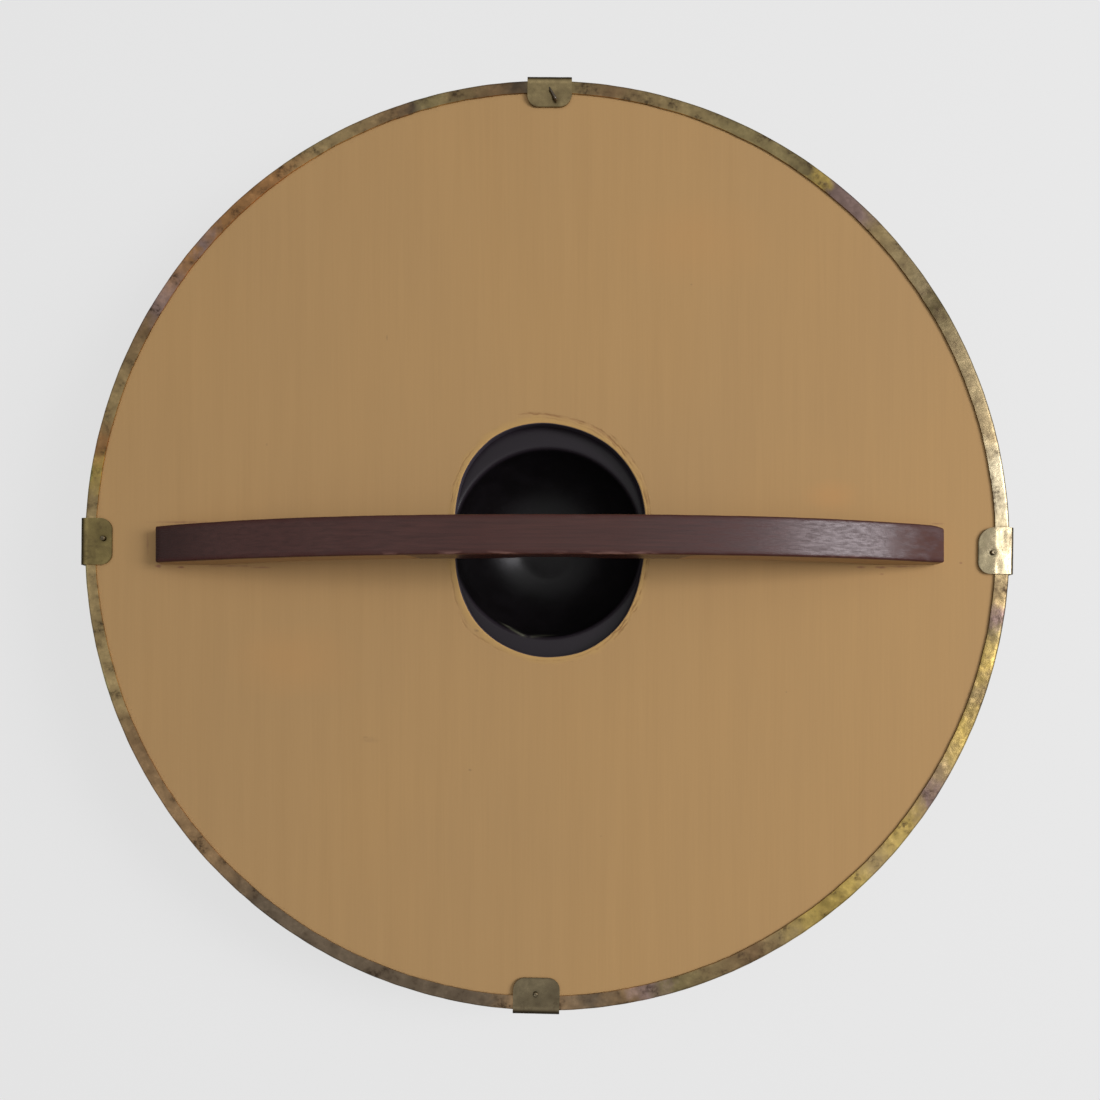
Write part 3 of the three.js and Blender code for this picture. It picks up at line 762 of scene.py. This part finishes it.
def metal_material(name, light, dark, roughness):
    """Bare or blackened metal with a mottled tone."""
    material, tree, shader = new_material(name, Metallic=1.0)
    where = object_place(tree)
    grain = stretched_noise(tree, where, (700, 700, 700), 4.0, 0.6)
    colour = mix(tree, remap(tree, grain, 0.35, 0.65), dark, light)
    tree.links.new(colour, shader.inputs["Base Color"])
    tree.links.new(remap(tree, grain, 0.3, 0.7, roughness + 0.12, roughness), shader.inputs["Roughness"])
    bump = add_node(tree, "ShaderNodeBump", {"Height": grain, "Strength": 0.4, "Distance": 0.0002})
    tree.links.new(bump.outputs[0], shader.inputs["Normal"])
    return material


nail_iron = metal_material("nail_iron", (0.14, 0.12, 0.105, 1), (0.05, 0.04, 0.034, 1), 0.38)
flange_front = flange_middle - BOSS_SHEET / 2
nail_head = flange_front - PLAY
nail_profile = [
    *[(NAIL_HEAD * a, nail_head + NAIL_HEAD_HEIGHT * b) for a, b in arc_points(0, 0, 1, -90, 0, 7)],
    (NAIL_SHANK, nail_head),
    (NAIL_SHANK, flange_front + NAIL_LENGTH - 0.001),
    (0.0004, flange_front + NAIL_LENGTH),
    (0, flange_front + NAIL_LENGTH),
]
for index in range(4):
    turn = math.radians(45 + 90 * index)
    nail_bm = turned(nail_profile, 24, closed=False)
    head = [vert for vert in nail_bm.verts if vert.co.z < nail_head - 1e-5]
    for vert in head:
        knock = noise.noise(vert.co * 420 + Vector((index * 9.1, 0, 0)))
        vert.co *= Vector((1 - 0.04 * abs(knock), 1 - 0.04 * abs(knock), 1))
        vert.co.z += 0.00025 * max(knock, 0)
    bmesh.ops.translate(nail_bm, verts=nail_bm.verts,
                        vec=(NAIL_CIRCLE * math.cos(turn), BOSS_Y + NAIL_CIRCLE * math.sin(turn), 0))
    nail = make_piece(f"flange_nail_{index + 1}", nail_bm, nail_iron, 50)
    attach(nail, "root")
    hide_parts(f"boss_nail_{index + 1}")

# ---------------------------------------------------------------- grip
# A sawn wooden bar, bowed in its height, with flat feet glued to the board. It is planed by hand,
# its long edges are eased, and brown gloss paint covers its face and all of it where the hand closes.

GRIP_X = 0.002
GRIP_Y = -0.001
GRIP_HALF = 0.3175
GRIP_WIDTH = 0.0303
GRIP_TAPER = 0.0009
GRIP_END = 0.012
GRIP_TOP = 0.0545
BOW_HALF = 0.268
BOW_HEIGHT = 0.033
GRIP_EDGE = 0.0016
SCOOP_RADIUS = 0.255
SCOOP_DEPTH = 0.004
SCOOP_HALF = 0.046
ROUNDED_RUN = 0.016
ROUNDED_CUT = 0.0022
GRIP_STATIONS = 220
GRIP_FOOT = BOARD_BACK + PLAY

BROWN_SHADED_END = (0.034, 0.0135, 0.0110, 1)
BROWN_MIDDLE = (0.072, 0.0270, 0.0225, 1)
BROWN_LIT_RIGHT = (0.080, 0.033, 0.031, 1)
EDGE_SHADE_RED = (0.050, 0.0105, 0.0075, 1)
WORN_PINK = (0.17, 0.082, 0.066, 1)
SIDE_OCHRE = (0.40, 0.245, 0.11, 1)

brown_paint, tree, shader = new_material("brown_grip_paint", Specular_IOR_Level=0.5)
where = object_place(tree)
split = add_node(tree, "ShaderNodeSeparateXYZ", {0: where}).outputs
strokes = stretched_noise(tree, where, (16, 620, 620), 4.0, 0.6)
bands = stretched_noise(tree, where, (22, 1.5, 6), 2.0)
dabs = stretched_noise(tree, where, (60, 240, 240), 3.0)
# Painted light along the grip: the brown is darker at the left end, which tilts away from the lamps, and lighter
# on the right, which tilts towards them.
colour = mix(tree, remap(tree, split["X"], -0.325, -0.25), BROWN_SHADED_END, BROWN_MIDDLE)
colour = mix(tree, remap(tree, split["X"], 0.05, 0.14), colour, BROWN_LIT_RIGHT)
colour = mix(tree, remap(tree, bands, 0.35, 0.65, 0.0, 0.30), colour, (0.085, 0.040, 0.034, 1))
colour = mix(tree, remap(tree, strokes, 0.35, 0.70, 0.0, 0.45), colour, (0.018, 0.007, 0.006, 1))
reddened = times(tree, remap(tree, split["X"], 0.262, 0.292), remap(tree, dabs, 0.42, 0.60, 0.25, 0.85))
colour = mix(tree, reddened, colour, (0.078, 0.028, 0.020, 1))
from_edge = mask_of(tree, "from_edge")
# A patchy dark red line along the eased edges is painted shade, where the face's sheen doesn't reach.
edge_shade = remap(tree, from_edge, 0.0042, 0.0014)
colour = mix(tree, times(tree, edge_shade, remap(tree, dabs, 0.25, 0.55, 0.25, 0.9)), colour, EDGE_SHADE_RED)
worn = times(tree, mask_of(tree, "worn"), remap(tree, dabs, 0.46, 0.60))
colour = mix(tree, worn, colour, WORN_PINK)
paint_end = add_node(tree, "ShaderNodeMath", {0: dabs, 1: 0.0030, 2: mask_of(tree, "paint_down")},
                     operation="MULTIPLY_ADD").outputs[0]
past_paint = add_node(tree, "ShaderNodeMath", {0: mask_of(tree, "below_top"), 1: paint_end},
                      operation="SUBTRACT").outputs[0]
bare = remap(tree, past_paint, 0.0, 0.0009)
side_tone = mix(tree, remap(tree, strokes, 0.3, 0.7, 0.0, 0.25), SIDE_OCHRE, (0.26, 0.15, 0.07, 1))
colour = mix(tree, bare, colour, side_tone)
tree.links.new(colour, shader.inputs["Base Color"])
gloss = remap(tree, strokes, 0.35, 0.65, 0.20, 0.38)
dulled = times(tree, remap(tree, split["X"], 0.235, 0.305), remap(tree, dabs, 0.3, 0.6, 0.48, 0.72))
gloss = larger(tree, gloss, dulled)
tree.links.new(larger(tree, gloss, times(tree, bare, 0.6)), shader.inputs["Roughness"])
relief = add_node(tree, "ShaderNodeMath", {0: strokes, 1: 0.35, 2: dabs}, operation="MULTIPLY_ADD")
bump = add_node(tree, "ShaderNodeBump", {"Height": relief.outputs[0], "Strength": 0.32, "Distance": 0.0003})
tree.links.new(bump.outputs[0], shader.inputs["Normal"])


def grip_top(x):
    return GRIP_FOOT + GRIP_END + (GRIP_TOP - GRIP_END) * (1 - np.abs(x / GRIP_HALF) ** 2.5)


def grip_under(x):
    return GRIP_FOOT + BOW_HEIGHT * np.clip(1 - np.abs(x / BOW_HALF) ** 3.2, 0, 1)


def grip_side(x, upper):
    """How far a side of the grip is from its middle line. One corner of the right end is rounded off."""
    half = GRIP_WIDTH / 2 * (1 - GRIP_TAPER / GRIP_WIDTH * (x / GRIP_HALF) ** 6)
    round_off = np.clip((x - GRIP_HALF + ROUNDED_RUN) / ROUNDED_RUN, 0, 1)
    return half - np.where(upper, ROUNDED_CUT * (1 - np.sqrt(1 - round_off ** 2)), 0)


grip_bm = bmesh.new()
bmesh.ops.create_cube(grip_bm, size=1)
for axis, cuts in ((0, GRIP_STATIONS - 1), (1, 9), (2, 5)):
    run = [edge for edge in grip_bm.edges if abs((edge.verts[0].co - edge.verts[1].co)[axis]) > 0.5]
    bmesh.ops.subdivide_edges(grip_bm, edges=run, cuts=cuts, use_grid_fill=True)
for vert in grip_bm.verts:
    x = vert.co.x * 2 * GRIP_HALF
    low, high = float(grip_under(x)), float(grip_top(x))
    vert.co = (x, vert.co.y * 2 * float(grip_side(x, vert.co.y > 0)), low + (vert.co.z + 0.5) * (high - low))
arrises = [edge for edge in grip_bm.edges if len(edge.link_faces) == 2 and edge.calc_face_angle() > 1.0]
bmesh.ops.bevel(grip_bm, geom=arrises, offset=GRIP_EDGE, segments=4, profile=0.5, affect="EDGES", material=-1,
                clamp_overlap=True)
bmesh.ops.recalc_face_normals(grip_bm, faces=grip_bm.faces)
grip = make_piece("grip_bar", grip_bm, brown_paint, 60)
places = places_of(grip.data)
x, y, z = places.T.copy()
# The fingers' scoop takes the lower edges off at a slant.
slant = (np.abs(y) - GRIP_WIDTH / 2 - (z - grip_under(0 * x))) / math.sqrt(2)
over = slant + np.clip(SCOOP_DEPTH - x * x / (2 * SCOOP_RADIUS), 0, None)
over = np.where(np.abs(x) < SCOOP_HALF, np.clip(over, 0, None), 0)
places[:, 1] -= np.sign(y) * over / math.sqrt(2)
places[:, 2] += over / math.sqrt(2)
below_top = grip_top(x) - z
inward = grip_side(x, y > 0) - np.abs(y)
write_mask(grip.data, "below_top", below_top)
write_mask(grip.data, "from_edge", np.clip(inward, 0, None) + below_top)
write_mask(grip.data, "paint_down", 0.0006 + 0.07 * ease(0.112, 0.074, np.abs(x)))
rub = ease(0.0022, 0.0010, np.clip(inward, 0, None) + below_top)
zone = np.maximum(ease(-0.150, -0.118, x) * ease(0.092, 0.070, x),
                  ease(0.215, 0.222, x) * ease(0.252, 0.243, x))
write_mask(grip.data, "worn", rub * zone * np.where(y < 0, 1.0, 0.12))
# Planed by hand, the faces are never quite flat, and the eased edges wander.
planed = 0.00012 * lumps(places * (0.35, 1, 1), 0.022, 31)
by_arris = ease(0.004, 0.001, np.clip(inward, 0, None) + below_top)
eased = 0.00016 * lumps(places * (0.5, 1, 1), 0.007, 32) * by_arris
keep = ease(0.0002, 0.0030, z - GRIP_FOOT)
places[:, 1] -= np.sign(y) * (np.abs(planed) + np.abs(eased)) * ease(0.0, 0.01, np.abs(y))
places[:, 2] -= (np.abs(planed) * 0.8 + np.abs(eased)) * keep * ease(0.006, 0.001, below_top)
places[:, 0] += GRIP_X
places[:, 1] += GRIP_Y
move_points(grip.data, places)
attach(grip, "root")
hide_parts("grip")

# ---------------------------------------------------------------- clips over the band
# Four short straps cut from brass sheet, their inner corners rounded, folded over the band and
# beaten down on both sides. Each has painted shade over its fold with a painted highlight beside it, and is
# darker round its fastener.

CLIP_SHEET = 0.0012
CLIP_SLACK = 0.00148
CLIP_CORNER = 0.010
CLIP_LAP = 0.0132
CLIP_COLUMNS = 40
CLIP_ROWS = 72
CLIP_EASED = 0.0003
CLIPS = {
    "right": {"angle": CLIP_ANGLES["right"], "width": 0.038, "leg": 0.0265, "inset": 0.0153,
              "aside": -0.0015, "tone": (0.62, 0.52, 0.32), "cut": (1.25, 0.95)},
    "top": {"angle": CLIP_ANGLES["top"], "width": 0.0363, "leg": 0.0224, "inset": 0.0176,
            "aside": -0.0048, "tone": (0.52, 0.40, 0.20), "cut": (0.85, 1.0)},
    "left": {"angle": CLIP_ANGLES["left"], "width": 0.038, "leg": 0.0231, "inset": 0.0163,
             "aside": -0.0025, "tone": (0.50, 0.385, 0.155), "cut": (0.9, 0.9)},
    "bottom": {"angle": CLIP_ANGLES["bottom"], "width": 0.038, "leg": 0.0272, "inset": 0.0141,
               "aside": -0.0007, "tone": (0.40, 0.32, 0.19), "cut": (0.95, 0.95)},
}

clip_brass = brass_material("clip_brass", (0.10, 0.068, 0.042, 1), 0.65, 300.0, 0.24, 0.45, 0.0004)


def band_reach(degrees):
    """How far the band's outer edge is from the middle at that angle."""
    turn = math.radians(degrees)
    return 1 / math.hypot(math.cos(turn) / BAND_REACH, math.sin(turn) / (BAND_REACH * BAND_TALL))


def turn_about_z(places, degrees):
    turn = math.radians(degrees)
    x, y = places[:, 0].copy(), places[:, 1].copy()
    places[:, 0] = x * math.cos(turn) - y * math.sin(turn)
    places[:, 1] = x * math.sin(turn) + y * math.cos(turn)


def clip_fold(clip):
    """The outer face of a clip in its middle plane, from the front leg's end to the back leg's."""
    reach = band_reach(clip["angle"])
    outer = reach + CLIP_SLACK + CLIP_SHEET
    bend = BAND_BEND + 1.5 * CLIP_SHEET
    over_band = BOARD_BACK + 2 * PLAY + BAND_SHEET + CLIP_SHEET
    on_board = BOARD_BACK + PLAY + CLIP_SHEET
    middle = (BOARD_FRONT + BOARD_BACK) / 2
    inner = reach - clip["leg"]
    back = [*arc_points(outer - bend, over_band - bend, bend, 0, 90, 8), (reach - CLIP_LAP, over_band),
            (inner, on_board)]
    front = [(r, 2 * middle - z) for r, z in reversed(back)]
    return np.array(front + back)


for side, clip in CLIPS.items():
    fold = clip_fold(clip)
    lengths = np.r_[0, np.cumsum(np.linalg.norm(np.diff(fold, axis=0), axis=1))]
    leg_end = lengths[2]
    clip_bm = bmesh.new()
    bmesh.ops.create_grid(clip_bm, x_segments=CLIP_ROWS, y_segments=CLIP_COLUMNS, size=1)
    bmesh.ops.reverse_faces(clip_bm, faces=clip_bm.faces)
    piece = make_piece(f"edge_clip_{side}", clip_bm, clip_brass, 180)
    places = places_of(piece.data)
    half = clip["width"] / 2
    across = half * np.sin(places[:, 1] * math.pi / 2)
    run = (places[:, 0] + 1) / 2 * lengths[-1]
    corner = CLIP_CORNER * np.where(across > 0, clip["cut"][0], clip["cut"][1])
    into = np.clip(np.abs(across) - (half - corner), 0, corner)
    trim = corner - np.sqrt(corner ** 2 - into ** 2)
    from_end = np.minimum(run, lengths[-1] - run)
    eased_in = from_end + trim * (1 - np.clip(from_end / leg_end, 0, 1))
    run = np.where(run < lengths[-1] / 2, eased_in, lengths[-1] - eased_in)
    r, z = np.interp(run, lengths, fold[:, 0]), np.interp(run, lengths, fold[:, 1])
    tangent = np.stack([np.interp(run + 1e-4, lengths, line) - np.interp(run - 1e-4, lengths, line)
                        for line in fold.T], axis=1)
    tangent /= np.linalg.norm(tangent, axis=1)[:, None]
    outward = np.c_[tangent[:, 1], -tangent[:, 0]]
    from_middle = np.c_[r, z] - (fold[:, 0].mean(), fold[:, 1].mean())
    outward *= np.sign(np.sum(outward * from_middle, axis=1))[:, None]
    flat = np.c_[run, across, 0 * run]
    seed = 40 + 7 * list(CLIPS).index(side)
    pin_r = band_reach(clip["angle"]) - clip["inset"]
    from_pin = np.hypot(r - pin_r, across - clip["aside"])
    crumple = 0.00022 * lumps(flat, 0.010, seed) + 0.00010 * lumps(flat, 0.004, seed + 1)
    crumple -= 0.00030 * np.exp(-(from_pin / 0.0028) ** 2)
    crumple = np.clip(crumple, -0.00028, 0.0005)
    crumple = np.where(from_end > leg_end, -0.4 * np.abs(crumple), crumple)
    r, z = r + outward[:, 0] * crumple, z + outward[:, 1] * crumple
    places = np.c_[r, across, z]
    turn_about_z(places, clip["angle"])
    move_points(piece.data, places)

    tones = np.tile(np.array(clip["tone"]), (len(run), 1))
    fold_start = fold[:, 0].max() - 0.0045
    # Painted shade over the fold, and a painted highlight just inside it.
    fold_shade = ease(fold_start, fold_start + 0.0018, r)[:, None]
    fold_highlight = (np.exp(-((r - fold_start + 0.0012) / 0.0011) ** 2) * 0.35)[:, None]
    tones = tones * (1 + fold_highlight) * (1 - 0.72 * fold_shade)
    # Darker round the pin.
    pin_darkening = np.exp(-(from_pin / 0.0036) ** 2)[:, None] * 0.55
    tones = tones * (1 - pin_darkening)
    tones = tones * (1 + 0.22 * lumps(flat, 0.009, seed + 2))[:, None]
    rim = ease(0.0009, 0.0, from_end)[:, None]
    tones = tones * (1 - 0.45 * rim)
    write_tone(piece.data, "tone", np.clip(tones, 0, 1))
    sheet = piece.modifiers.new("sheet", "SOLIDIFY")
    sheet.thickness = CLIP_SHEET
    sheet.offset = -1
    sheet.use_even_offset = True
    eased_edge = piece.modifiers.new("eased_edge", "BEVEL")
    eased_edge.width = CLIP_EASED
    eased_edge.segments = 2
    eased_edge.limit_method = "ANGLE"
    eased_edge.angle_limit = math.radians(50)
    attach(piece, "root")
    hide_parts(f"clip_{side}")

# ---------------------------------------------------------------- fasteners of the clips
# Three clips have a short rivet with a domed head in front, its other end spread over by a hammer.
# The top clip has a nail driven from the front, its end bent over to lie on the clip.

SHANK = 0.0012
FRONT_HEAD = 0.0034
FRONT_HEAD_HEIGHT = 0.0016
BACK_HEAD = 0.0022
BACK_HEAD_HEIGHT = 0.0011
CLENCH_LENGTH = 0.0105
CLENCH_TURN = 30

stack = 3 * PLAY + BAND_SHEET + CLIP_SHEET
head_front = BOARD_FRONT - stack
head_back = BOARD_BACK + stack
front_head = [(FRONT_HEAD * a, head_front + FRONT_HEAD_HEIGHT * b) for a, b in arc_points(0, 0, 1, -90, 0, 7)]

rivet_metal = metal_material("rivet_metal", (0.42, 0.35, 0.22, 1), (0.16, 0.12, 0.075, 1), 0.30)
for side in ("right", "left", "bottom"):
    clip = CLIPS[side]
    spread = [(BACK_HEAD, head_back), (BACK_HEAD, head_back + 0.0003), (BACK_HEAD * 0.86, head_back + 0.0008),
              (BACK_HEAD * 0.6, head_back + BACK_HEAD_HEIGHT), (BACK_HEAD * 0.28, head_back + 0.00085),
              (0, head_back + 0.0007)]
    rivet_bm = turned([*front_head, (SHANK, head_front), (SHANK, head_back), *spread], 28, closed=False)
    for vert in rivet_bm.verts:
        knock = noise.noise(vert.co * 600 + Vector((clip["angle"], 3, 5)))
        if vert.co.z > head_back - 1e-5:
            squash = 1 - 0.16 * abs(knock) * (math.hypot(vert.co.x, vert.co.y) > SHANK)
            vert.co.x *= squash
            vert.co.y *= squash
            vert.co.z -= 0.0001 * abs(knock) * (vert.co.z > head_back + 1e-4)
    pin_r = band_reach(clip["angle"]) - clip["inset"]
    rivet = make_piece(f"clip_rivet_{side}", rivet_bm, rivet_metal, 55)
    places = places_of(rivet.data)
    places[:, :2] += (pin_r, clip["aside"])
    turn_about_z(places, clip["angle"])
    move_points(rivet.data, places)
    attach(rivet, "root")
    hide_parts(f"rivet_{side}")

nail_metal = metal_material("nail_metal", (0.36, 0.30, 0.23, 1), (0.11, 0.085, 0.065, 1), 0.34)
clip = CLIPS["top"]
lying = head_back + SHANK
bend = 1.5 * SHANK
turn = math.radians(CLENCH_TURN)
aim = np.array([math.cos(turn), math.sin(turn), 0])
start = np.array([0, 0, head_front])
steps = np.linspace(0, 1, 16)[1:, None]
corner = np.array([0, 0, lying])
low = corner - (0, 0, bend)
past = corner + aim * bend
route = np.vstack([start, low, (1 - steps) ** 2 * low + 2 * steps * (1 - steps) * corner + steps ** 2 * past,
                   aim * CLENCH_LENGTH + corner])
run = np.r_[0, np.cumsum(np.linalg.norm(np.diff(route, axis=0), axis=1))]
stations = np.linspace(0, run[-1] - 0.0006, 46)
taper = SHANK * (1 - 0.42 * ease(run[-1] - 0.011, run[-1], stations))
nail_profile = [*[(FRONT_HEAD * a, FRONT_HEAD_HEIGHT * b) for a, b in arc_points(0, 0, 1, -90, 0, 7)],
                *zip(taper, stations), (taper[-1] * 0.6, run[-1] - 0.0001), (0, run[-1])]
clenched = make_piece("clenched_nail", turned(nail_profile, 20, closed=False), nail_metal, 55)
places = places_of(clenched.data)
s = np.clip(places[:, 2], 0, None)
centre = np.stack([np.interp(s, run, route[:, i]) for i in range(3)], axis=1)
ahead = np.stack([np.interp(s + 2e-4, run, route[:, i]) - np.interp(s - 2e-4, run, route[:, i])
                  for i in range(3)], axis=1)
ahead /= np.linalg.norm(ahead, axis=1)[:, None]
flank = np.array([-aim[1], aim[0], 0])
lift = np.cross(ahead, flank)
bent = centre - places[:, :1] * lift + places[:, 1:2] * flank
bent[:, 2] += np.minimum(places[:, 2], 0)
bent[:, :2] += (band_reach(clip["angle"]) - clip["inset"], clip["aside"])
turn_about_z(bent, clip["angle"])
move_points(clenched.data, bent)
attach(clenched, "root")
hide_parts("nail_top")
